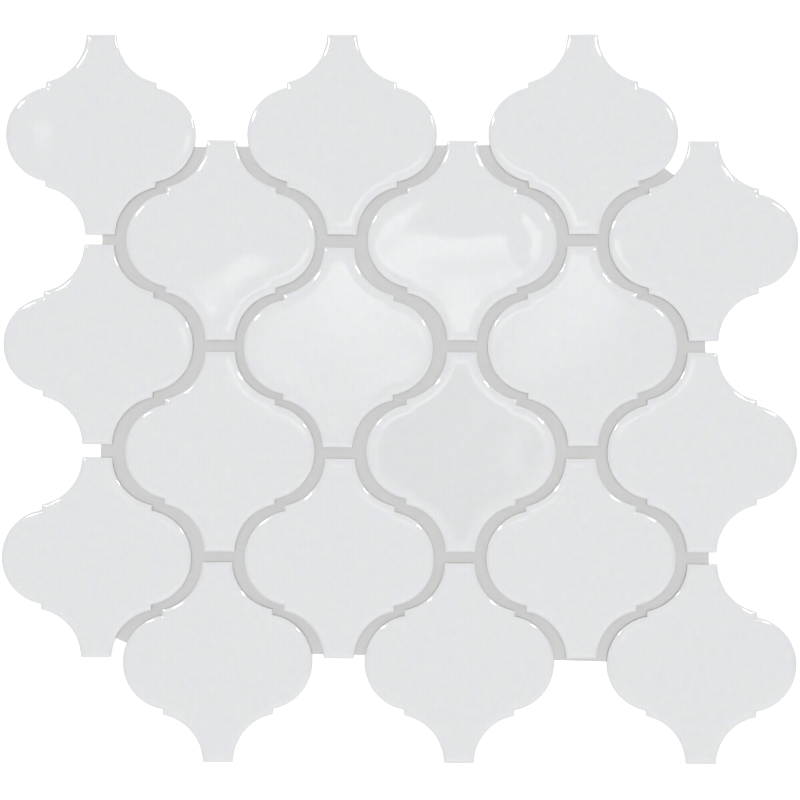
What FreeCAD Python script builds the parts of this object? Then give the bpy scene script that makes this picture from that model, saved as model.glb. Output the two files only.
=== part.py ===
import FreeCAD, Part
import math
import os

# A mosaic sheet of glazed arabesque tiles, also called lantern tiles.
# The lanterns stand in rows, each row set over by half a tile, and are glued
# to one thin backing that shows in the joints.
# Origin: middle of the sheet, on the underside of the backing. +X runs along
# the rows, +Y runs up the necks, and +Z comes out of the glazed face.

# Lantern outline. Each side lobe is part of a circle. It stops at a small
# upright step, the shoulder, and a hollow arc leads on from there to the tip.
lobe_radius = 17.05
lobe_offset = 17.0        # tile centre to lobe centre
waist_width = 39.5        # between the shoulders of the two sides
shoulder_step = 2.05      # height of the step
neck_radius = 17.7        # hollow arc between shoulder and tip
neck_width = 10.65        # where the two hollow arcs come closest
tile_length = 71.8        # tip to tip

# Section. The pressed body has upright sides and a cushion edge: a sloping
# rim runs all round the flat face.
tile_thickness = 6.0
rim_width = 2.5
rim_fall = 0.7

# Laying. A tile's tip meets the next tip across tip_joint, and has the lobes
# of its neighbours across side_joint.
tip_joint = 4.4
side_joint = 4.25
columns = 6
rows = 6
row_lean = -0.27          # each row lies this much further along X than the row above
column_dip = 0.12         # each column lies this much lower than the one on its left

# Backing. It is cut by hand, with two corners clipped. Each corner is given
# from the centre of the tile that hides it, clockwise from the top left.
backing_thickness = 0.5
top_left_corner = (0.9, -4.6)
clip_start_top_right = (17.7, -3.0)
clip_end_top_right = (-0.2, 16.2)
bottom_right_corner = (3.6, -0.2)
clip_start_bottom_left = (-27.2, 4.6)
clip_end_bottom_left = (0.9, -27.0)

tile_width = 2 * (lobe_offset + lobe_radius)
column_pitch = (neck_width + tile_width) / 2 + side_joint
row_pitch = (tile_length + tip_joint) / 2

foot_z = backing_thickness
face_z = foot_z + tile_thickness
rim_z = face_z - rim_fall

# Centre of the hollow arc, set so that the arc ends at the top of the step.
shoulder_x = waist_width / 2
shoulder_y = math.sqrt(lobe_radius ** 2 - (shoulder_x - lobe_offset) ** 2)
neck_centre_x = neck_width / 2 + neck_radius
neck_centre_y = (
    shoulder_y + shoulder_step
    + math.sqrt(neck_radius ** 2 - (neck_centre_x - shoulder_x) ** 2)
)


def closed_face(points):
    """Flat face inside a closed run of straight lines."""
    corners = [FreeCAD.Vector(*point) for point in points]
    return Part.Face(Part.makePolygon(corners + corners[:1]))


def turned(section, x, y):
    """Solid of a (radius, height) section turned about an upright axis at x, y."""
    face = closed_face([(radius, 0, z) for radius, z in section])
    solid = face.revolve(FreeCAD.Vector(0, 0, 0), FreeCAD.Vector(0, 0, 1), 360)
    return solid.translated(FreeCAD.Vector(x, y, 0))


def side_and_rim(reach):
    """Section of a tile's side, from its foot up and over the rim to the flat face."""
    return [(reach, foot_z), (reach, rim_z), (reach - rim_width, face_z)]


def both_sides(reach):
    """Section of a tile from one side to the other."""
    near = side_and_rim(reach)
    return near + [(-out, z) for out, z in reversed(near)]


def waist_block():
    """Straight middle of the lantern, with the rim along its steps and tips."""
    half_width = waist_width / 2
    half_length = tile_length / 2
    across = closed_face([(x, -half_length, z) for x, z in both_sides(half_width)])
    along = closed_face([(-half_width, y, z) for y, z in both_sides(half_length)])
    return across.extrude(FreeCAD.Vector(0, tile_length, 0)).common(
        along.extrude(FreeCAD.Vector(waist_width, 0, 0))
    )


def lobe(side):
    """Round side lobe of the lantern."""
    section = [(0, foot_z), *side_and_rim(lobe_radius), (0, face_z)]
    return turned(section, side * lobe_offset, 0)


def neck_cutter(side, end):
    """Space beside one neck: a round hole that opens out above the rim line."""
    clear = tile_thickness
    opening_out = clear * rim_width / rim_fall
    section = [
        (0, foot_z - clear), (neck_radius, foot_z - clear), (neck_radius, rim_z),
        (neck_radius + opening_out, rim_z + clear), (0, rim_z + clear),
    ]
    return turned(section, side * neck_centre_x, end * neck_centre_y)


def lantern():
    """One tile, centred on the origin and standing on the backing's top."""
    tile = waist_block()
    for side in (-1, 1):
        tile = tile.fuse(lobe(side))
    for side in (-1, 1):
        for end in (-1, 1):
            tile = tile.cut(neck_cutter(side, end))
    return tile.removeSplitter().Solids[0]


def row_centres():
    """Tile centres, a list for each row from the top, the sheet's middle at the origin."""
    sheet = [
        [
            FreeCAD.Vector(
                column * column_pitch + row * row_lean,
                -row * row_pitch - column * column_dip,
                0,
            )
            for column in range(row % 2, columns, 2)
        ]
        for row in range(rows)
    ]
    xs = [centre.x for row in sheet for centre in row]
    ys = [centre.y for row in sheet for centre in row]
    middle = FreeCAD.Vector((min(xs) + max(xs)) / 2, (min(ys) + max(ys)) / 2, 0)
    return [[centre - middle for centre in row] for row in sheet]


def backing(sheet):
    """Thin sheet behind the joints."""
    placed_corners = [
        (sheet[0][0], top_left_corner),
        (sheet[0][-1], clip_start_top_right),
        (sheet[1][-1], clip_end_top_right),
        (sheet[-1][-1], bottom_right_corner),
        (sheet[-1][0], clip_start_bottom_left),
        (sheet[-2][0], clip_end_bottom_left),
    ]
    outline = [tile_centre + FreeCAD.Vector(*offset, 0) for tile_centre, offset in placed_corners]
    return closed_face(outline).extrude(FreeCAD.Vector(0, 0, backing_thickness))


os.makedirs("parts", exist_ok=True)
sheet = row_centres()
tile = lantern()
for number, row in enumerate(sheet, 1):
    tiles = Part.makeCompound([tile.translated(centre) for centre in row])
    tiles.exportStep(f"parts/lantern_row_{number}.step")
backing(sheet).exportStep("parts/mesh_backing.step")
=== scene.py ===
import logging
import math
from dataclasses import dataclass, field
from enum import Enum

import bpy
import numpy as np
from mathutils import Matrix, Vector, noise


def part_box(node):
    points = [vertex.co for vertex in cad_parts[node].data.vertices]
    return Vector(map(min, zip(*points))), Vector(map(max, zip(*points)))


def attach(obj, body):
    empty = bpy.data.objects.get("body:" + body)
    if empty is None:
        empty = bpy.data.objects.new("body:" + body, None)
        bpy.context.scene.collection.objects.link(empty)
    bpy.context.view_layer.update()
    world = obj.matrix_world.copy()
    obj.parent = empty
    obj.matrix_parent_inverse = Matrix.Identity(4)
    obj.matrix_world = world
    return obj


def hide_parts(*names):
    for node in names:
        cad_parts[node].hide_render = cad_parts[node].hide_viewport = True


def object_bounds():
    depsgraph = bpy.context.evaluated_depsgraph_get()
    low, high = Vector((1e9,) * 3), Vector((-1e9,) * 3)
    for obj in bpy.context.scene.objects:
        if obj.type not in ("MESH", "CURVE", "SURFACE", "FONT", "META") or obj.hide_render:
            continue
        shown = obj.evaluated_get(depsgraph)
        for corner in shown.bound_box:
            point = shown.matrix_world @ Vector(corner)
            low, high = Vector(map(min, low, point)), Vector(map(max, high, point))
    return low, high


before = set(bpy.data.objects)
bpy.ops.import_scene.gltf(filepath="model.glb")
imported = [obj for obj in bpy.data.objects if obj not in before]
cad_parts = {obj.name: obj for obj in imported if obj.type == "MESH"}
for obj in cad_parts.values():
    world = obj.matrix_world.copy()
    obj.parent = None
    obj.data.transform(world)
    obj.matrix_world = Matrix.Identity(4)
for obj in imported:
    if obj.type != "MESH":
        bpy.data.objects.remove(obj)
cad_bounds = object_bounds()

# Looks of a mosaic sheet of white glazed lantern tiles on a thin grey backing.
# Lengths are in metres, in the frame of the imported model. MM turns the real
# sizes, which are given in millimetres, into metres.

MM = 0.001
ROOT = "root"
BACKING_NODE = "mesh_backing"

# A wave texture repeats every pi / 10 of its own units.
WAVE_REPEAT = math.pi / 10

# Blender's Mix node has several sockets of one name, so its colour sockets go by their places.
MIX_SHARE, MIX_FIRST, MIX_SECOND, MIX_RESULT = 0, 6, 7, 2

# An area lamp takes this many watts for each unit of radiance and square metre.
AREA_LAMP_WATTS = 4.0

log = logging.getLogger("lantern_sheet")


class Axis(Enum):
    """Direction on the sheet, along the rows or up the necks."""

    X = "X"
    Y = "Y"


class RowPlace(Enum):
    """Place of a tile in its row of three, from the left."""

    LEFT = "left"
    MIDDLE = "middle"
    RIGHT = "right"


def linear_colour(hex_code: str) -> tuple[float, float, float, float]:
    """Turns an sRGB hex colour into the linear colour that shaders take.

    Args:
        hex_code: Colour such as "#E4E6E7".

    Returns:
        Linear red, green, blue and an alpha of 1.
    """
    channels = [int(hex_code[i:i + 2], 16) / 255 for i in (1, 3, 5)]
    linear = [c / 12.92 if c <= 0.04045 else ((c + 0.055) / 1.055) ** 2.4 for c in channels]
    return (*linear, 1.0)


def add_node(
    tree: bpy.types.NodeTree, kind: str, inputs: dict | tuple = (), **settings: object
) -> bpy.types.Node:
    """Adds one shader node with its settings and links.

    Args:
        tree: Node tree that gets the node.
        kind: Blender's name of the node type.
        inputs: What each input gets, by its name or place, or as a tuple in the inputs' order. It
            is a plain value, the output socket that feeds it, or a node whose first output does.
        **settings: Properties of the node.

    Returns:
        The new node.
    """
    node = tree.nodes.new(kind)
    for name, setting in settings.items():
        setattr(node, name, setting)
    for key, source in inputs.items() if isinstance(inputs, dict) else enumerate(inputs):
        if isinstance(source, bpy.types.Node):
            source = source.outputs[0]
        if isinstance(source, bpy.types.NodeSocket):
            tree.links.new(source, node.inputs[key])
        else:
            node.inputs[key].default_value = source
    return node


def empty_material(name: str) -> bpy.types.Material:
    """Makes a material with no nodes in it yet.

    Args:
        name: Name of the material.

    Returns:
        The new material.
    """
    material = bpy.data.materials.new(name)
    material.use_nodes = True
    material.node_tree.nodes.clear()
    return material


@dataclass(frozen=True)
class GlazedStoneware:
    """White gloss glaze, sprayed and fired over a pressed stoneware body.

    The glaze is glass over an opaque white, so the eye gets a clean mirror of the lamps over a
    soft white. It lies a hair unevenly and stops short of the foot, where the dry body shows.
    """

    name: str = "white_gloss_glaze"
    glaze_hex: str = "#E1E5DF"
    glaze_shade_hex: str = "#E1E0E9"
    body_hex: str = "#E0DBD0"
    glaze_roughness: float = 0.02
    body_roughness: float = 0.85
    glaze_ior: float = 1.5

    # Clouds, where the melting glaze pooled, tint the white a trace green or violet.
    cloud_spacing: float = 5 * MM
    cloud_detail: float = 4.0

    # Mottles, where the spray fell thicker or thinner, are a trace lighter or darker.
    mottle_spacing: float = 3 * MM
    mottle_detail: float = 3.0
    mottle_roughness: float = 0.7
    mottle_depth: float = 0.09

    # Streaks are left by the spray gun's passes. The finest are drawn as coarse as they need to show.
    streak_spacing: float = 1.15 * MM
    streak_wander: float = 3.0
    streak_detail: float = 1.0
    streak_detail_scale: float = 0.4
    streak_depth: float = 0.022

    # The glaze ends in a wavy line above the foot.
    glaze_stop: float = 0.8 * MM
    glaze_stop_wave: float = 0.3 * MM
    glaze_stop_blend: float = 0.1 * MM
    wave_spacing: float = 2.4 * MM
    wave_detail: float = 3.0

    # Peel is the glaze's slight unevenness. The body's grain is drawn as coarse as it needs to show.
    peel_spacing: float = 2.2 * MM
    peel_detail: float = 1.0
    peel_depth: float = 0.0002 * MM
    grain_spacing: float = 0.35 * MM
    grain_detail: float = 4.0
    grain_depth: float = 0.03 * MM

    def glaze_colour(self, tree: bpy.types.NodeTree, place: bpy.types.NodeSocket) -> bpy.types.Node:
        """Adds the colour of the glaze, with its clouds, mottles and streaks.

        Args:
            tree: Node tree of the material.
            place: Socket with the place on the sheet.

        Returns:
            Node whose first output is the colour.
        """
        cloud = add_node(
            tree, "ShaderNodeTexNoise",
            {"Vector": place, "Scale": 1 / self.cloud_spacing, "Detail": self.cloud_detail},
        )
        tinted = add_node(
            tree, "ShaderNodeMix",
            {
                MIX_SHARE: cloud,
                MIX_FIRST: linear_colour(self.glaze_hex),
                MIX_SECOND: linear_colour(self.glaze_shade_hex),
            },
            data_type="RGBA",
        )
        streak = add_node(
            tree, "ShaderNodeTexWave",
            {
                "Vector": place, "Scale": WAVE_REPEAT / self.streak_spacing,
                "Distortion": self.streak_wander, "Detail": self.streak_detail,
                "Detail Scale": self.streak_detail_scale,
            },
            wave_type="BANDS", bands_direction=Axis.X.value,
        )
        streaked = add_node(
            tree, "ShaderNodeMapRange",
            {
                "Value": streak.outputs["Fac"],
                "To Min": 1 - self.streak_depth / 2, "To Max": 1 + self.streak_depth / 2,
            },
        )
        mottle = add_node(
            tree, "ShaderNodeTexNoise",
            {
                "Vector": place, "Scale": 1 / self.mottle_spacing, "Detail": self.mottle_detail,
                "Roughness": self.mottle_roughness,
            },
        )
        # The noise swings about a half, so half the depth comes off again.
        mottled = add_node(
            tree, "ShaderNodeMath", (mottle, self.mottle_depth, -self.mottle_depth / 2),
            operation="MULTIPLY_ADD",
        )
        shade = add_node(tree, "ShaderNodeMath", (streaked, mottled), operation="ADD")
        return add_node(
            tree, "ShaderNodeVectorMath", {"Vector": tinted.outputs[MIX_RESULT], "Scale": shade},
            operation="SCALE",
        )

    def bare_share(
        self, tree: bpy.types.NodeTree, place: bpy.types.NodeSocket, foot_z: float
    ) -> bpy.types.Node:
        """Adds how much of the body is bare.

        Args:
            tree: Node tree of the material.
            place: Socket with the place on the sheet.
            foot_z: Height of the tile's foot.

        Returns:
            Node whose first output is 1 below the line where the glaze stops and 0 above it.
        """
        height = add_node(tree, "ShaderNodeSeparateXYZ", (place,))
        wave = add_node(
            tree, "ShaderNodeTexNoise",
            {"Vector": place, "Scale": 1 / self.wave_spacing, "Detail": self.wave_detail},
        )
        waved = add_node(
            tree, "ShaderNodeMath", (wave, 2 * self.glaze_stop_wave, height.outputs["Z"]),
            operation="MULTIPLY_ADD",
        )
        stop = foot_z + self.glaze_stop + self.glaze_stop_wave
        return add_node(
            tree, "ShaderNodeMapRange",
            {
                "Value": waved, "From Min": stop - self.glaze_stop_blend,
                "From Max": stop + self.glaze_stop_blend, "To Min": 1.0, "To Max": 0.0,
            },
        )

    def relief(
        self, tree: bpy.types.NodeTree, place: bpy.types.NodeSocket, bare: bpy.types.Node
    ) -> bpy.types.Node:
        """Adds the unevenness of the glaze, and the body's grain where it is bare.

        Args:
            tree: Node tree of the material.
            place: Socket with the place on the sheet.
            bare: Node with the share of bare body.

        Returns:
            Node whose first output is the normal.
        """
        peel = add_node(
            tree, "ShaderNodeTexNoise",
            {"Vector": place, "Scale": 1 / self.peel_spacing, "Detail": self.peel_detail},
        )
        grain = add_node(
            tree, "ShaderNodeTexNoise",
            {"Vector": place, "Scale": 1 / self.grain_spacing, "Detail": self.grain_detail},
        )
        bare_grain = add_node(tree, "ShaderNodeMath", (grain, bare), operation="MULTIPLY")
        peeled = add_node(
            tree, "ShaderNodeBump", {"Strength": 1.0, "Distance": self.peel_depth, "Height": peel}
        )
        return add_node(
            tree, "ShaderNodeBump",
            {"Strength": 1.0, "Distance": self.grain_depth, "Height": bare_grain, "Normal": peeled},
        )

    def material(self, foot_z: float) -> bpy.types.Material:
        """Builds the shader.

        Args:
            foot_z: Height of the tile's foot.

        Returns:
            The finished material.
        """
        material = empty_material(self.name)
        tree = material.node_tree
        place = add_node(tree, "ShaderNodeTexCoord").outputs["Object"]
        bare = self.bare_share(tree, place, foot_z)
        colour = add_node(
            tree, "ShaderNodeMix",
            {
                MIX_SHARE: bare,
                MIX_FIRST: self.glaze_colour(tree, place),
                MIX_SECOND: linear_colour(self.body_hex),
            },
            data_type="RGBA",
        )
        roughness = add_node(
            tree, "ShaderNodeMapRange",
            {"Value": bare, "To Min": self.glaze_roughness, "To Max": self.body_roughness},
        )
        surface = add_node(
            tree, "ShaderNodeBsdfPrincipled",
            {
                "Base Color": colour.outputs[MIX_RESULT], "Roughness": roughness, "IOR": self.glaze_ior,
                "Normal": self.relief(tree, place, bare),
            },
        )
        add_node(tree, "ShaderNodeOutputMaterial", {"Surface": surface})
        return material


@dataclass(frozen=True)
class BinderFilledScrim:
    """Glass-fibre scrim whose openings are filled flush with binder.

    The eye gets an even matt grey. The threads stand a hair above the binder, so light from the
    side picks out a faint square weave. The side glued to the tiles has a skin of binder that is
    a trace paler, a painted lift against the shade that the tiles cast into the joints, and it
    hides most of the weave.
    """

    name: str = "grey_binder_filled_scrim"
    # The skin's paler grey is painted light: it lifts the shade that the tiles cast into the joints.
    shade_lifting_skin_hex: str = "#D0D0D0"
    binder_hex: str = "#CECECE"
    thread_gain: float = 1.05
    skin_thread_gain: float = 1.01
    roughness: float = 0.9
    ior: float = 1.45

    # The threads of such a scrim lie 2 to 3 mm apart.
    thread_spacing: float = 2.5 * MM
    thread_wander: float = 0.4
    thread_detail: float = 1.0
    thread_detail_scale: float = 0.6
    thread_sharpness: float = 3.0
    thread_height: float = 0.015 * MM

    # The skin begins about halfway up the sheet.
    skin_start: float = 0.2 * MM
    skin_end: float = 0.3 * MM

    def weave(self, tree: bpy.types.NodeTree, place: bpy.types.NodeSocket) -> bpy.types.Node:
        """Adds the square weave.

        Args:
            tree: Node tree of the material.
            place: Socket with the place on the sheet.

        Returns:
            Node whose first output is 1 along the threads and 0 in the openings.
        """
        threads = [
            add_node(
                tree, "ShaderNodeTexWave",
                {
                    "Vector": place, "Scale": WAVE_REPEAT / self.thread_spacing,
                    "Distortion": self.thread_wander, "Detail": self.thread_detail,
                    "Detail Scale": self.thread_detail_scale,
                },
                wave_type="BANDS", bands_direction=axis.value,
            ).outputs["Fac"]
            for axis in Axis
        ]
        crossed = add_node(tree, "ShaderNodeMath", tuple(threads), operation="MAXIMUM")
        return add_node(tree, "ShaderNodeMath", (crossed, self.thread_sharpness), operation="POWER")

    def material(self) -> bpy.types.Material:
        """Builds the shader.

        Returns:
            The finished material.
        """
        material = empty_material(self.name)
        tree = material.node_tree
        place = add_node(tree, "ShaderNodeTexCoord").outputs["Object"]
        weave = self.weave(tree, place)
        height = add_node(tree, "ShaderNodeSeparateXYZ", (place,)).outputs["Z"]
        skin = add_node(
            tree, "ShaderNodeMapRange",
            {"Value": height, "From Min": self.skin_start, "From Max": self.skin_end},
        )
        # The binder turns to the paler skin on top, a painted lift against the shade in the joints.
        binder = add_node(
            tree, "ShaderNodeMix",
            {
                MIX_SHARE: skin,
                MIX_FIRST: linear_colour(self.binder_hex),
                MIX_SECOND: linear_colour(self.shade_lifting_skin_hex),
            },
            data_type="RGBA",
        )
        highest = add_node(
            tree, "ShaderNodeMapRange",
            {"Value": skin, "To Min": self.thread_gain, "To Max": self.skin_thread_gain},
        )
        gain = add_node(tree, "ShaderNodeMapRange", {"Value": weave, "To Min": 1.0, "To Max": highest})
        colour = add_node(
            tree, "ShaderNodeVectorMath", {"Vector": binder.outputs[MIX_RESULT], "Scale": gain},
            operation="SCALE",
        )
        bump = add_node(
            tree, "ShaderNodeBump", {"Strength": 1.0, "Distance": self.thread_height, "Height": weave}
        )
        surface = add_node(
            tree, "ShaderNodeBsdfPrincipled",
            {"Base Color": colour, "Roughness": self.roughness, "IOR": self.ior, "Normal": bump},
        )
        add_node(tree, "ShaderNodeOutputMaterial", {"Surface": surface})
        return material


@dataclass(frozen=True)
class PalePaper:
    """Matt white background paper. The lens sees it burnt out to white, but for the shadow."""

    name: str = "white_background_paper"
    paper_hex: str = "#F2F2F2"
    burn: float = 0.34
    roughness: float = 1.0

    def material(self) -> bpy.types.Material:
        """Builds the shader.

        Returns:
            The finished material.
        """
        material = empty_material(self.name)
        tree = material.node_tree
        rays = add_node(tree, "ShaderNodeLightPath")
        mirrored = add_node(
            tree, "ShaderNodeMath", (rays.outputs["Is Glossy Ray"], rays.outputs["Is Transmission Ray"]),
            operation="ADD",
        )
        seen = add_node(
            tree, "ShaderNodeMath", (rays.outputs["Is Camera Ray"], mirrored), operation="ADD"
        )
        strength = add_node(tree, "ShaderNodeMath", (seen, self.burn), operation="MULTIPLY")
        paper = add_node(
            tree, "ShaderNodeBsdfDiffuse",
            {"Color": linear_colour(self.paper_hex), "Roughness": self.roughness},
        )
        glow = add_node(tree, "ShaderNodeEmission", {"Strength": strength})
        both = add_node(tree, "ShaderNodeAddShader", (paper, glow))
        add_node(tree, "ShaderNodeOutputMaterial", {"Surface": both})
        return material


@dataclass(frozen=True)
class LanternOutline:
    """Plan of one lantern in its own frame, made of four like quarters.

    The upper right quarter runs from the middle of the tip along the tip's end, down the hollow
    neck arc, down the upright shoulder step and round the lobe to its widest point. The sizes are
    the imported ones, and the glaze stands out a hair further all round.
    """

    lobe_radius: float = 17.05 * MM
    lobe_offset: float = 17.0 * MM
    waist_width: float = 39.5 * MM
    shoulder_step: float = 2.05 * MM
    neck_radius: float = 17.7 * MM
    neck_width: float = 10.65 * MM
    length: float = 71.8 * MM
    glaze: float = 0.1 * MM
    grid: float = 0.05 * MM

    # A corner is rounded by a bell curve, this wide against the corner's radius and this far out
    # against its own width.
    bell_share: float = 0.6
    bell_reach: float = 3.0

    @property
    def width(self) -> float:
        """Packed width across both lobes."""
        return 2 * (self.lobe_offset + self.lobe_radius)

    @property
    def shoulder(self) -> tuple[float, float]:
        """Foot of the shoulder step, where the lobe's arc ends."""
        x = self.waist_width / 2
        return x, math.sqrt(self.lobe_radius ** 2 - (x - self.lobe_offset) ** 2)

    @property
    def neck_centre(self) -> tuple[float, float]:
        """Centre of the hollow neck arc, which lies outside the tile."""
        shoulder_x, shoulder_y = self.shoulder
        x = self.neck_width / 2 + self.neck_radius
        rise = math.sqrt(self.neck_radius ** 2 - (x - shoulder_x) ** 2)
        return x, shoulder_y + self.shoulder_step + rise

    def arc(self, centre: tuple[float, float], radius: float, start: float, end: float) -> np.ndarray:
        """Points on an arc, one grid step apart.

        Args:
            centre: Centre of the arc.
            radius: Radius of the arc.
            start: First angle, in radians from +X.
            end: Last angle.

        Returns:
            Array of x, y rows.
        """
        count = max(2, math.ceil(abs(end - start) * radius / self.grid))
        angles = np.linspace(start, end, count + 1)
        return np.column_stack([centre[0] + radius * np.cos(angles), centre[1] + radius * np.sin(angles)])

    def outer_quarter(self) -> tuple[np.ndarray, list[np.ndarray]]:
        """Edge of the tile in the upper right quarter.

        Returns:
            The points from the tip to the widest point, and its three corners.
        """
        top = self.length / 2 + self.glaze
        step = self.waist_width / 2 + self.glaze
        centre, neck_radius = self.neck_centre, self.neck_radius - self.glaze
        lobe_radius = self.lobe_radius + self.glaze
        tip_angle = math.pi + math.asin((centre[1] - top) / neck_radius)
        step_angle = math.pi + math.acos((centre[0] - step) / neck_radius)
        neck = self.arc(centre, neck_radius, tip_angle, step_angle)
        lobe_angle = math.acos((step - self.lobe_offset) / lobe_radius)
        lobe = self.arc((self.lobe_offset, 0), lobe_radius, lobe_angle, 0)
        points = np.vstack([[(0, top)], neck, lobe])
        return points, [neck[0], neck[-1], lobe[0]]

    def inner_quarter(self, inset: float) -> tuple[np.ndarray, list[np.ndarray]]:
        """Line where the rim meets the flat face, which passes the shoulder step in one sweep.

        Args:
            inset: Width of the rim along the arcs.

        Returns:
            The points from the tip to the widest point, and the places that face the three corners.
        """
        inset -= self.glaze
        top = self.length / 2 - inset
        centre, neck_radius = self.neck_centre, self.neck_radius + inset
        lobe_radius = self.lobe_radius - inset
        apart = math.hypot(centre[0] - self.lobe_offset, centre[1])
        slant = math.atan2(centre[1], centre[0] - self.lobe_offset)
        swing = math.acos((neck_radius + lobe_radius) / apart)
        tip_angle = math.pi + math.asin((centre[1] - top) / neck_radius)
        neck = self.arc(centre, neck_radius, tip_angle, slant + math.pi - swing)
        lobe = self.arc((self.lobe_offset, 0), lobe_radius, slant - swing, 0)
        points = np.vstack([[(0, top)], neck, lobe])
        corners = self.outer_quarter()[1]
        fine = self.evened(points)
        facing = [fine[np.argmin(np.hypot(*(fine - corner).T))] for corner in corners[1:]]
        return points, [neck[0], *facing]

    def evened(self, points: np.ndarray) -> np.ndarray:
        """Spaces points evenly along their run.

        Args:
            points: Array of x, y rows.

        Returns:
            Points about one grid step apart on the same run.
        """
        run = np.concatenate([[0], np.cumsum(np.hypot(*np.diff(points, axis=0).T))])
        places = np.linspace(0, run[-1], math.ceil(run[-1] / self.grid) + 1)
        return np.column_stack([np.interp(places, run, points[:, k]) for k in (0, 1)])

    def softened(self, points: np.ndarray, radius: float) -> np.ndarray:
        """Rounds the corners of an evenly spaced quarter, keeping its ends on the axes.

        Args:
            points: Array of x, y rows.
            radius: About the radius that the corners get.

        Returns:
            As many points, smoothed.
        """
        spread = max(1.0, self.bell_share * radius / self.grid)
        reach = math.ceil(self.bell_reach * spread)
        weights = np.exp(-0.5 * (np.arange(-reach, reach + 1) / spread) ** 2)
        weights /= weights.sum()
        before = points[1:reach + 1][::-1] * (-1, 1)
        after = points[-reach - 1:-1][::-1] * (1, -1)
        full = np.vstack([before, points, after])
        return np.column_stack([np.convolve(full[:, k], weights, "valid") for k in (0, 1)])

    def sampled(
        self, points: np.ndarray, corners: list[np.ndarray], counts: tuple[int, int, int, int], radius: float
    ) -> np.ndarray:
        """Picks the points that the mesh uses, close together at the corners.

        Args:
            points: Quarter run.
            corners: The three corners on it.
            counts: Steps in each of the four stretches between the ends and the corners.
            radius: Radius that the corners get.

        Returns:
            One more point than the counts add up to.
        """
        fine = self.evened(points)
        marks = [int(np.argmin(np.hypot(*(fine - corner).T))) for corner in corners]
        marks = [0, *marks, len(fine) - 1]
        soft = self.softened(fine, radius)
        index = [0.0]
        for k, count in enumerate(counts):
            step = np.arange(1, count + 1) / count
            bunched = 0.5 - 0.5 * np.cos(math.pi * step)
            # The first and last stretches end on an axis, and bunch up at their one corner only.
            if k == 0:
                bunched = np.sin(0.5 * math.pi * step)
            elif k == len(counts) - 1:
                bunched = 1 - np.cos(0.5 * math.pi * step)
            index.extend(marks[k] + bunched * (marks[k + 1] - marks[k]))
        return np.column_stack([np.interp(index, np.arange(len(soft)), soft[:, k]) for k in (0, 1)])


@dataclass(frozen=True)
class CushionRim:
    """Section of the rim, from the flat face out and over the edge to the upright side.

    The face eases into the rim so gently that only a mirrored line shows where, then bends down
    steadily until the rounded edge takes over.
    """

    width: float = 4.0 * MM
    ease_width: float = 2.1 * MM
    ease_slope: float = math.radians(1.6)
    edge_slope: float = math.radians(24)
    slope_power: float = 1.6
    edge_radius: float = 0.12 * MM
    rim_steps: int = 14
    edge_steps: int = 5

    # Where the rims of two arcs meet, the ridge between them is rounded by this much.
    ridge_radius: float = 0.7 * MM

    @property
    def edge_inset(self) -> float:
        """How far in the rounded edge ends and the rim begins."""
        return self.edge_radius * (1 - math.sin(self.edge_slope))

    def insets(self) -> list[float]:
        """Distances in from the side at which the mesh has a ring, outermost first."""
        turns = [
            0.5 * math.pi - (0.5 * math.pi - self.edge_slope) * k / self.edge_steps
            for k in range(1, self.edge_steps + 1)
        ]
        edge = [self.edge_radius * (1 - math.sin(turn)) for turn in turns]
        step = (self.width - self.edge_inset) / self.rim_steps
        return edge + [self.edge_inset + step * k for k in range(1, self.rim_steps + 1)]

    def drop(self, inset: np.ndarray) -> np.ndarray:
        """Depth under the flat face.

        Args:
            inset: Distances in from the tile's side.

        Returns:
            Depths, as positive lengths.
        """
        out = np.clip(self.width - np.maximum(inset, self.edge_inset), 0, None)
        ease, edge = math.tan(self.ease_slope), math.tan(self.edge_slope)
        on_ease = ease * np.minimum(out, self.ease_width) ** 2 / (2 * self.ease_width)
        span = self.width - self.edge_inset - self.ease_width
        share = np.clip((out - self.ease_width) / span, 0, 1)
        bend = share ** (self.slope_power + 1) / (self.slope_power + 1)
        on_rim = on_ease + span * (ease * share + (edge - ease) * bend)
        sine = 1 - np.clip(inset, 0, self.edge_inset) / self.edge_radius
        on_edge = self.edge_radius * (math.cos(self.edge_slope) - np.sqrt(1 - sine ** 2))
        return on_rim + on_edge


@dataclass(frozen=True)
class Hollow:
    """One broad, shallow hollow in a face, or a swell where its depth is below zero.

    Its lengths are in millimetres, measured from the middle of the tile, and its turn in degrees.
    """

    place: tuple[float, float]
    reach: tuple[float, float]
    depth: float
    turn: float = 0.0

    def height(self, points: np.ndarray) -> np.ndarray:
        """Height that it adds to the face.

        Args:
            points: Array of x, y rows in the tile's frame, in metres.

        Returns:
            Height for each point, in metres.
        """
        x, y = (points / MM - self.place).T
        turn = math.radians(self.turn)
        along = (x * math.cos(turn) + y * math.sin(turn)) / self.reach[0]
        across = (y * math.cos(turn) - x * math.sin(turn)) / self.reach[1]
        return -self.depth * MM * np.exp(-along ** 2 - across ** 2)


@dataclass(frozen=True)
class Firing:
    """How one tile's face strays from flat, which only shows in what the glaze mirrors.

    The tilt is a slope along X and one along Y, and every face has ripples too low to see.
    """

    tilt: tuple[float, float] = (0.0, 0.0)
    hollows: tuple[Hollow, ...] = ()
    ripple_height: float = 0.003 * MM
    ripple_spacing: float = 15 * MM

    def height(self, points: np.ndarray, seed: int) -> np.ndarray:
        """Height over a flat face.

        Args:
            points: Array of x, y rows in the tile's frame.
            seed: Number that sets this tile's ripples.

        Returns:
            Height for each point.
        """
        # The noise is zero at whole numbers, so each tile takes a layer halfway between two.
        layer = seed + 0.5
        ripples = [
            noise.noise(Vector((x / self.ripple_spacing, y / self.ripple_spacing, layer)))
            for x, y in points
        ]
        height = self.ripple_height * np.array(ripples) + points @ np.array(self.tilt)
        return height + sum(hollow.height(points) for hollow in self.hollows)


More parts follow.
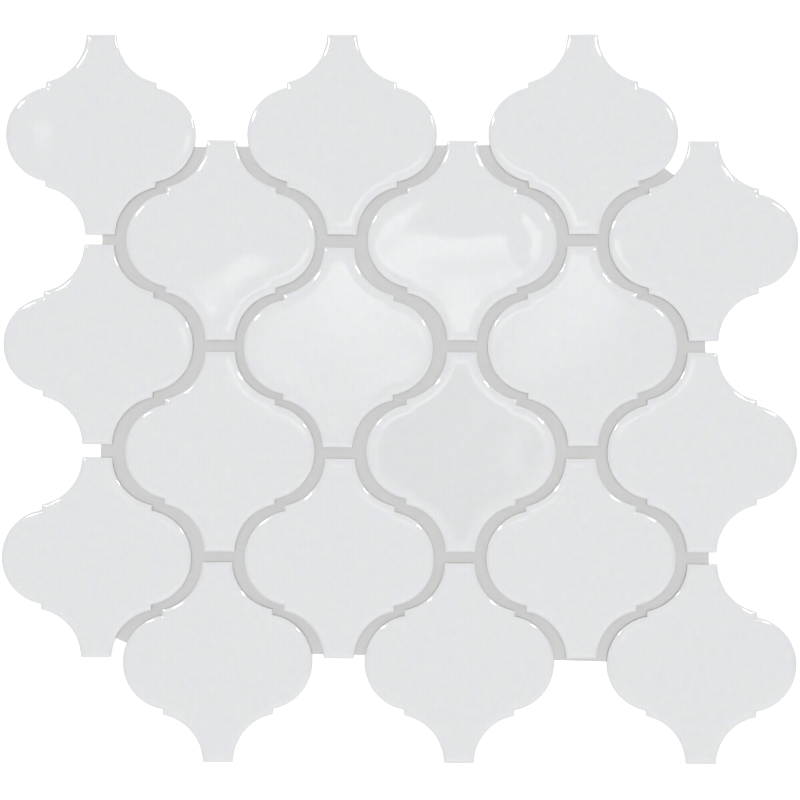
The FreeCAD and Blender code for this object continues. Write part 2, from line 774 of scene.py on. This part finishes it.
@dataclass(frozen=True)
class Laying:
    """How far a tile lies from its even place: a shift in millimetres and a turn in degrees."""

    shift: tuple[float, float] = (0.0, 0.0)
    turn: float = 0.0

    def placed(self, points: np.ndarray, place: tuple[float, float]) -> np.ndarray:
        """Turns and moves points of the tile to where it lies on the sheet.

        Args:
            points: Array of x, y rows in the tile's frame.
            place: Even place of the tile.

        Returns:
            Array of x, y rows on the sheet.
        """
        cosine, sine = math.cos(math.radians(self.turn)), math.sin(math.radians(self.turn))
        turned = points @ np.array([(cosine, sine), (-sine, cosine)])
        return turned + place + np.array(self.shift) * MM


@dataclass(frozen=True)
class LanternShape:
    """Mesh of a flat-faced lantern, which all the tiles start from.

    It is a stack of rings from the back up the side and over the rim to the face, whose points
    lie closer together at the corners.
    """

    outline: LanternOutline = field(default_factory=LanternOutline)
    rim: CushionRim = field(default_factory=CushionRim)
    corner_radius: float = 0.25 * MM
    foot_radius: float = 0.3 * MM
    counts: tuple[int, int, int, int] = (6, 26, 14, 26)
    wall_steps: int = 3
    back_steps: int = 3

    # The ridges are softened by the mean of this many places round each point, which lie no
    # further out than this share of the way to the side.
    probes: int = 8
    probe_reach: float = 0.9

    def ring(self, quarter: np.ndarray) -> np.ndarray:
        """Mirrors a quarter into a closed ring.

        Args:
            quarter: Points from the tip to the widest point.

        Returns:
            Array of x, y rows, clockwise from the upper tip.
        """
        right = np.vstack([quarter, quarter[::-1][1:] * (1, -1)])
        return np.vstack([right, right[::-1][1:-1] * (-1, 1)])

    def gaps(self, points: np.ndarray, side: np.ndarray) -> np.ndarray:
        """Distance of each point from the tile's side.

        Args:
            points: Array of x, y rows.
            side: Points along the side, as x, y rows.

        Returns:
            Distance for each point.
        """
        return np.array([np.hypot(*(side - point).T).min() for point in points])

    def insets(self, points: np.ndarray) -> np.ndarray:
        """Distance of each point from the tile's side, with the ridges between the arcs softened.

        Args:
            points: Array of x, y rows inside the tile.

        Returns:
            Distance for each point.
        """
        quarter = self.outline.evened(self.outline.outer_quarter()[0])
        side = self.ring(self.outline.softened(quarter, self.corner_radius))
        nearest = self.gaps(points, side)
        reach = np.minimum(self.rim.ridge_radius, self.probe_reach * nearest)
        total = nearest.copy()
        for turn in np.arange(self.probes) * 2 * math.pi / self.probes:
            around = points + reach[:, None] * (math.cos(turn), math.sin(turn))
            total += self.gaps(around, side)
        return total / (self.probes + 1)

    def rings(self, foot_z: float, face_z: float, face_steps: int) -> np.ndarray:
        """All rings of the tile, from near the middle of its back to near the middle of its face.

        Args:
            foot_z: Height of the foot.
            face_z: Height of the flat face.
            face_steps: Steps from the rim to the middle of the face.

        Returns:
            Array of rings by points by x, y, z.
        """
        rim, outline = self.rim, self.outline
        outer = outline.sampled(*outline.outer_quarter(), self.counts, self.corner_radius)
        inner = outline.sampled(*outline.inner_quarter(rim.width), self.counts, self.corner_radius)
        inward = (inner - outer) / rim.width
        side_top = face_z - float(rim.drop(np.zeros(1))[0])
        low = foot_z + self.foot_radius
        foot = outer + inward * self.foot_radius
        quarters = [(foot * step / self.back_steps, foot_z) for step in range(1, self.back_steps + 1)]
        quarters += [
            (outer, low + (side_top - low) * step / self.wall_steps)
            for step in range(self.wall_steps + 1)
        ]
        for inset in rim.insets():
            flat = outer + inward * inset
            quarters.append((flat, face_z - rim.drop(self.insets(flat))))
        quarters += [(inner * (1 - step / face_steps), face_z) for step in range(1, face_steps)]
        stack = []
        for flat, height in quarters:
            heights = np.broadcast_to(height, len(flat))
            half = np.concatenate([heights, heights[::-1][1:]])
            stack.append(np.column_stack([self.ring(flat), np.concatenate([half, half[::-1][1:-1]])]))
        return np.array(stack)


@dataclass
class LanternTile:
    """One glazed lantern, from the dry foot up to the face, as it was fired and laid."""

    name: str
    node: str
    place: tuple[float, float]
    seed: int
    firing: Firing
    laying: Laying

    def build(self, rings: np.ndarray, material: bpy.types.Material) -> bpy.types.Object:
        """Builds the tile's mesh at its place on the sheet.

        Args:
            rings: Rings of the flat-faced lantern.
            material: Finish of the tile.

        Returns:
            The new object.
        """
        count, size = rings.shape[:2]
        points = np.vstack([rings.reshape(-1, 3), [(0, 0, rings[0, 0, 2]), (0, 0, rings[-1, 0, 2])]])
        # The foot stays flat on the backing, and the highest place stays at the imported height.
        warp = self.firing.height(points[:, :2], self.seed)
        foot_z, face_z = points[:, 2].min(), points[:, 2].max()
        points[:, 2] += (warp - warp.max()) * (points[:, 2] - foot_z) / (face_z - foot_z)
        points[:, :2] = self.laying.placed(points[:, :2], self.place)
        back_middle, face_middle = count * size, count * size + 1
        faces = []
        for k in range(size):
            after = (k + 1) % size
            faces.append((back_middle, k, after))
            for low in range(0, (count - 1) * size, size):
                faces.append((low + after, low + k, low + size + k, low + size + after))
            faces.append((face_middle, (count - 1) * size + after, (count - 1) * size + k))
        mesh = bpy.data.meshes.new(self.name)
        mesh.from_pydata(points.tolist(), [], faces)
        mesh.polygons.foreach_set("use_smooth", [True] * len(mesh.polygons))
        mesh.materials.append(material)
        tile = bpy.data.objects.new(self.name, mesh)
        bpy.context.scene.collection.objects.link(tile)
        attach(tile, ROOT)
        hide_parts(self.node)
        return tile


@dataclass
class LanternRows:
    """The tiles of the sheet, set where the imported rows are."""

    finish: GlazedStoneware = field(default_factory=GlazedStoneware)

    # Rings from the rim to the middle of a face: a warped face needs more.
    plain_steps: int = 12
    fine_steps: int = 40

    # The tiles whose faces are warped enough to catch the window or miss the glow. A separate
    #     program fitted these numbers to the glares in the photo, under this scene's own sky, and some
    #     were then adjusted. They give that look and don't measure how the tiles are warped.
    firings: dict[str, Firing] = field(
        default_factory=lambda: {
            "lantern_row_1_left": Firing(
                tilt=(-0.001, 0.0085), hollows=(Hollow((-29.7, 6.0), (11.6, 27.7), -0.28, -2.3),)
            ),
            "lantern_row_2_left": Firing(
                tilt=(-0.0026, -0.0047),
                hollows=(
                    Hollow((10.4, -14.3), (10.7, 8.1), 0.036, 36.3),
                    Hollow((-0.5, -25.0), (5.8, 6.5), 0.033, 12.1),
                ),
            ),
            "lantern_row_2_middle": Firing(
                tilt=(-0.0059, -0.0016),
                hollows=(
                    Hollow((-6.4, 24.5), (30.5, 5.1), -0.035, 36.1),
                    Hollow((19.1, 3.9), (11.9, 13.5), -0.12, -70.1),
                    Hollow((21.8, 4.2), (4.4, 8.7), 0.105, 12.0),
                    Hollow((14.2, -28.2), (30.5, 8.8), 0.101, -34.6),
                    Hollow((-9.2, -24.4), (10.5, 6.6), 0.12, -62.3),
                    Hollow((4.9, -12.1), (21.4, 4.7), 0.022, 3.0),
                ),
            ),
            "lantern_row_3_middle": Firing(
                tilt=(0.0028, -0.003),
                hollows=(
                    Hollow((0.8, -35.0), (18.9, 34.4), 0.147, 24.7),
                    Hollow((32.8, -10.4), (22.9, 27.4), 0.156, 28.7),
                ),
            ),
            "lantern_row_3_right": Firing(
                tilt=(0.0008, 0.0042), hollows=(Hollow((-20.2, 7.4), (14.5, 46.0), 0.08, -38.7),)
            ),
            "lantern_row_4_middle": Firing(
                tilt=(0.0053, -0.0047),
                hollows=(
                    Hollow((9.3, 1.0), (35.5, 42.6), 0.25, -74.0),
                    Hollow((23.1, 1.5), (5.7, 8.2), 0.01, -43.1),
                ),
            ),
        }
    )

    # How each tile lies off the even pattern. A separate program measured these numbers from the
    # outlines in the photo.
    layings: dict[str, Laying] = field(
        default_factory=lambda: {
            "lantern_row_1_left": Laying((0.44, -0.29), -0.43),
            "lantern_row_1_middle": Laying((0.09, -0.11), -0.08),
            "lantern_row_1_right": Laying((-0.19, 0.24), 0.22),
            "lantern_row_2_left": Laying((0.39, -0.08), -0.43),
            "lantern_row_2_middle": Laying((0.03, -0.02), -0.07),
            "lantern_row_2_right": Laying((-0.24, 0.03), -0.07),
            "lantern_row_3_left": Laying((0.05, 0.37), -0.57),
            "lantern_row_3_middle": Laying((-0.69, -0.54), -0.5),
            "lantern_row_3_right": Laying((-0.02, 0.18), 0.28),
            "lantern_row_4_left": Laying((0.53, -0.07), -0.23),
            "lantern_row_4_middle": Laying((0.1, 0.06), -0.4),
            "lantern_row_4_right": Laying((-0.27, 0.09), -0.24),
            "lantern_row_5_left": Laying((0.0, -0.11), -0.39),
            "lantern_row_5_middle": Laying((0.2, -0.32), -0.42),
            "lantern_row_5_right": Laying((-0.03, -0.11), 0.14),
            "lantern_row_6_left": Laying((0.22, 0.39), 0.2),
            "lantern_row_6_middle": Laying((0.07, 0.23), -0.26),
            "lantern_row_6_right": Laying((0.1, 0.05), -0.47),
        }
    )

    def build(self) -> list[bpy.types.Object]:
        """Builds every tile.

        Returns:
            The tiles, row by row from the top.
        """
        shape = LanternShape()
        outline = shape.outline
        nodes = sorted(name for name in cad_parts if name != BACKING_NODE)
        lowest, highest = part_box(nodes[0])
        material = self.finish.material(lowest.z)
        plain = shape.rings(lowest.z, highest.z, self.plain_steps)
        fine = shape.rings(lowest.z, highest.z, self.fine_steps)
        tiles = []
        for node in nodes:
            low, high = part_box(node)
            gaps = len(RowPlace) - 1
            pitch = (high.x - low.x - outline.width) / gaps
            dip = (high.y - low.y - outline.length) / gaps
            for number, row_place in enumerate(RowPlace):
                name = f"{node}_{row_place.value}"
                firing = self.firings.get(name, Firing())
                tile = LanternTile(
                    name=name,
                    node=node,
                    place=(
                        low.x + outline.width / 2 + number * pitch,
                        high.y - outline.length / 2 - number * dip,
                    ),
                    seed=len(tiles),
                    firing=firing,
                    laying=self.layings.get(name, Laying()),
                )
                tiles.append(tile.build(fine if firing.hollows else plain, material))
                log.info("tile %s", name)
        return tiles


@dataclass
class MeshBacking:
    """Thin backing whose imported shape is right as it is, so it only gets its finish."""

    finish: BinderFilledScrim = field(default_factory=BinderFilledScrim)

    def dress(self) -> bpy.types.Object:
        """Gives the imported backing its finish.

        Returns:
            The backing's object.
        """
        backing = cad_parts[BACKING_NODE]
        backing.data.materials.clear()
        backing.data.materials.append(self.finish.material())
        log.info("backing %s", BACKING_NODE)
        return backing


@dataclass(frozen=True)
class StripLamp:
    """A narrow lamp aimed at the sheet, which only adds its highlights to the glaze."""

    name: str
    place: tuple[float, float, float]
    width: float = 0.05
    length: float = 0.16
    radiance: float = 60.0

    def hang(self) -> bpy.types.Object:
        """Hangs the lamp, turned towards the sheet.

        Returns:
            The lamp's object.
        """
        lamp = bpy.data.lights.new(self.name, "AREA")
        lamp.shape = "RECTANGLE"
        lamp.size, lamp.size_y = self.width, self.length
        lamp.energy = AREA_LAMP_WATTS * self.width * self.length * self.radiance
        holder = bpy.data.objects.new(self.name, lamp)
        holder.location = self.place
        holder.rotation_euler = Vector(self.place).to_track_quat("Z", "Y").to_euler()
        holder.visible_camera = False
        holder.visible_diffuse = False
        bpy.context.scene.collection.objects.link(holder)
        return holder


@dataclass(frozen=True)
class OverheadLamp:
    """A large lamp far above the camera, which reaches down into the joints but isn't mirrored.

    Its level is how bright it turns white paper, where the paper lies open and 1 is white.
    """

    name: str = "overhead_lamp"
    level: float = 0.612
    spread: float = math.radians(6)
    height: float = 3.0

    def hang(self) -> bpy.types.Object:
        """Hangs the lamp, which shines straight down.

        Returns:
            The lamp's object.
        """
        lamp = bpy.data.lights.new(self.name, "SUN")
        lamp.energy = self.level * math.pi
        lamp.angle = self.spread
        holder = bpy.data.objects.new(self.name, lamp)
        holder.location.z = self.height
        holder.visible_glossy = False
        bpy.context.scene.collection.objects.link(holder)
        return holder


@dataclass(frozen=True)
class Panel:
    """A bright patch of the sky, four-sided, with softened edges.

    Each edge is a pair of places along X or Y on the sky, as a dome of radius 1 has them: where
    the soft edge begins and where it ends.
    """

    radiance: float
    left: tuple[float, float]
    right: tuple[float, float]
    foot: tuple[float, float]
    top: tuple[float, float]

    def light(self, tree: bpy.types.NodeTree, lean: bpy.types.Node) -> bpy.types.Node:
        """Adds the patch.

        Args:
            tree: Node tree of the world.
            lean: Node that splits the direction to the sky into X, Y and Z.

        Returns:
            Node whose first output is the radiance of the patch.
        """
        light = add_node(tree, "ShaderNodeMath", (lean.outputs["Z"], 0.0), operation="GREATER_THAN")
        for axis, edge, before, after in (
            (Axis.X, self.left, 0.0, self.radiance),
            (Axis.X, self.right, 1.0, 0.0),
            (Axis.Y, self.foot, 0.0, 1.0),
            (Axis.Y, self.top, 1.0, 0.0),
        ):
            share = add_node(
                tree, "ShaderNodeMapRange",
                {
                    "Value": lean.outputs[axis.value], "From Min": edge[0], "From Max": edge[1],
                    "To Min": before, "To Max": after,
                },
                interpolation_type="SMOOTHSTEP",
            )
            light = add_node(tree, "ShaderNodeMath", (light, share), operation="MULTIPLY")
        return light


@dataclass(frozen=True)
class Sky:
    """Even light from all round, a glow overhead, bright panels, and the camera's dark lens.

    Its strengths are radiances, where 1 is white. The glow and the lens fade between two
    distances from their middles, on a dome of radius 1.
    """

    white_hex: str = "#FFFFFF"
    even: float = 0.36
    glow: float = 0.5
    glow_centre: tuple[float, float, float] = (0.01, -0.06, 0.998)
    glow_edge: tuple[float, float] = (0.14, 0.415)
    lens_centre: tuple[float, float, float] = (0.0, 0.0, 1.0)
    lens_edge: tuple[float, float] = (0.0055, 0.008)
    panels: tuple[Panel, ...] = (
        # The window, high up beside the camera.
        Panel(2.15, left=(-0.0375, -0.0125), right=(0.033, 0.04), foot=(-0.01, 0.03), top=(0.0295, 0.0305)),
        # The wide screens in front of the sheet and behind it.
        Panel(1.0, left=(-0.8, 0.1), right=(0.6, 0.8), foot=(-0.7, -0.6), top=(-0.2, -0.06)),
        Panel(1.0, left=(-0.5, -0.4), right=(0.6, 0.8), foot=(0.42, 0.52), top=(0.76, 0.84)),
        # The reflectors behind the left and the right strip lamp.
        Panel(0.55, left=(-0.6, -0.5), right=(-0.15, -0.05), foot=(0.05, 0.15), top=(0.4, 0.5)),
        Panel(0.4, left=(0.05, 0.15), right=(0.5, 0.6), foot=(0.05, 0.15), top=(0.4, 0.5)),
    )

    def world(self) -> bpy.types.World:
        """Builds the world.

        Returns:
            The finished world.
        """
        world = bpy.data.worlds.new("studio")
        world.use_nodes = True
        tree = world.node_tree
        tree.nodes.clear()
        direction = add_node(tree, "ShaderNodeTexCoord").outputs["Generated"]
        fades = []
        for centre, edge, inside, outside in (
            (self.glow_centre, self.glow_edge, self.even + self.glow, self.even),
            (self.lens_centre, self.lens_edge, 0.0, 1.0),
        ):
            apart = add_node(tree, "ShaderNodeVectorMath", (direction, centre), operation="DISTANCE")
            fade = add_node(
                tree, "ShaderNodeMapRange",
                {
                    "Value": apart.outputs["Value"], "From Min": edge[0], "From Max": edge[1],
                    "To Min": inside, "To Max": outside,
                },
                interpolation_type="SMOOTHSTEP",
            )
            fades.append(fade)
        lit, off_lens = fades
        # The panels only show in the glaze, so that the light on the sheet stays even.
        lean = add_node(tree, "ShaderNodeSeparateXYZ", (direction,))
        rays = add_node(tree, "ShaderNodeLightPath")
        for panel in self.panels:
            lit = add_node(
                tree, "ShaderNodeMath",
                (panel.light(tree, lean), rays.outputs["Is Glossy Ray"], lit),
                operation="MULTIPLY_ADD",
            )
        total = add_node(tree, "ShaderNodeMath", (lit, off_lens), operation="MULTIPLY")
        # The lens itself sees plain white past the table.
        strength = add_node(
            tree, "ShaderNodeMapRange",
            {"Value": rays.outputs["Is Camera Ray"], "To Min": total, "To Max": 1.0},
        )
        background = add_node(
            tree, "ShaderNodeBackground", {"Color": linear_colour(self.white_hex), "Strength": strength}
        )
        add_node(tree, "ShaderNodeOutputWorld", {"Surface": background})
        return world


@dataclass
class Studio:
    """White table, even light from all round and above, and the camera straight overhead."""

    camera_height: float = 2.0

    # The photo's frame, across the glazed faces.
    view_width: float = 288 * MM
    view_centre: tuple[float, float] = (-0.17 * MM, -0.32 * MM)
    sensor: float = 36.0
    floor_half: float = 15.0

    # The floor lies a hair under the backing, so that they don't share a plane.
    floor_z: float = -0.1 * MM
    sky: Sky = field(default_factory=Sky)
    lamps: tuple[StripLamp | OverheadLamp, ...] = (
        OverheadLamp(),
        StripLamp("left_lamp", (-0.324, 0.266, 0.786)),
        StripLamp("right_lamp", (0.333, 0.252, 0.786)),
    )

    def floor(self) -> bpy.types.Object:
        """Lays the paper that the sheet lies on.

        Returns:
            The floor's object.
        """
        half, low = self.floor_half, self.floor_z
        corners = [(-half, -half, low), (half, -half, low), (half, half, low), (-half, half, low)]
        mesh = bpy.data.meshes.new("floor")
        mesh.from_pydata(corners, [], [range(len(corners))])
        mesh.materials.append(PalePaper().material())
        floor = bpy.data.objects.new("floor", mesh)
        bpy.context.scene.collection.objects.link(floor)
        return floor

    def light(self) -> None:
        """Sets the even light all round and hangs the lamps."""
        bpy.context.scene.world = self.sky.world()
        for lamp in self.lamps:
            lamp.hang()

    def camera(self, face_z: float) -> bpy.types.Object:
        """Hangs the camera over the sheet, looking straight down.

        Args:
            face_z: Height of the glazed faces.

        Returns:
            The camera's object.
        """
        data = bpy.data.cameras.new("camera")
        data.sensor_width = self.sensor
        data.lens = self.sensor * (self.camera_height - face_z) / self.view_width
        camera = bpy.data.objects.new("camera", data)
        camera.location = (*self.view_centre, self.camera_height)
        bpy.context.scene.collection.objects.link(camera)
        bpy.context.scene.camera = camera
        return camera

    def build(self, face_z: float) -> None:
        """Sets up the whole studio.

        Args:
            face_z: Height of the glazed faces.
        """
        bpy.context.scene.view_settings.view_transform = "Standard"
        self.floor()
        self.light()
        self.camera(face_z)


def main() -> None:
    """Builds the studio, then the tiles and the backing."""
    logging.basicConfig(level=logging.INFO, format="%(message)s")
    Studio().build(face_z=cad_bounds[1][2])
    tiles = LanternRows().build()
    MeshBacking().dress()
    log.info("%d tiles built", len(tiles))


if __name__ == "__main__":
    main()
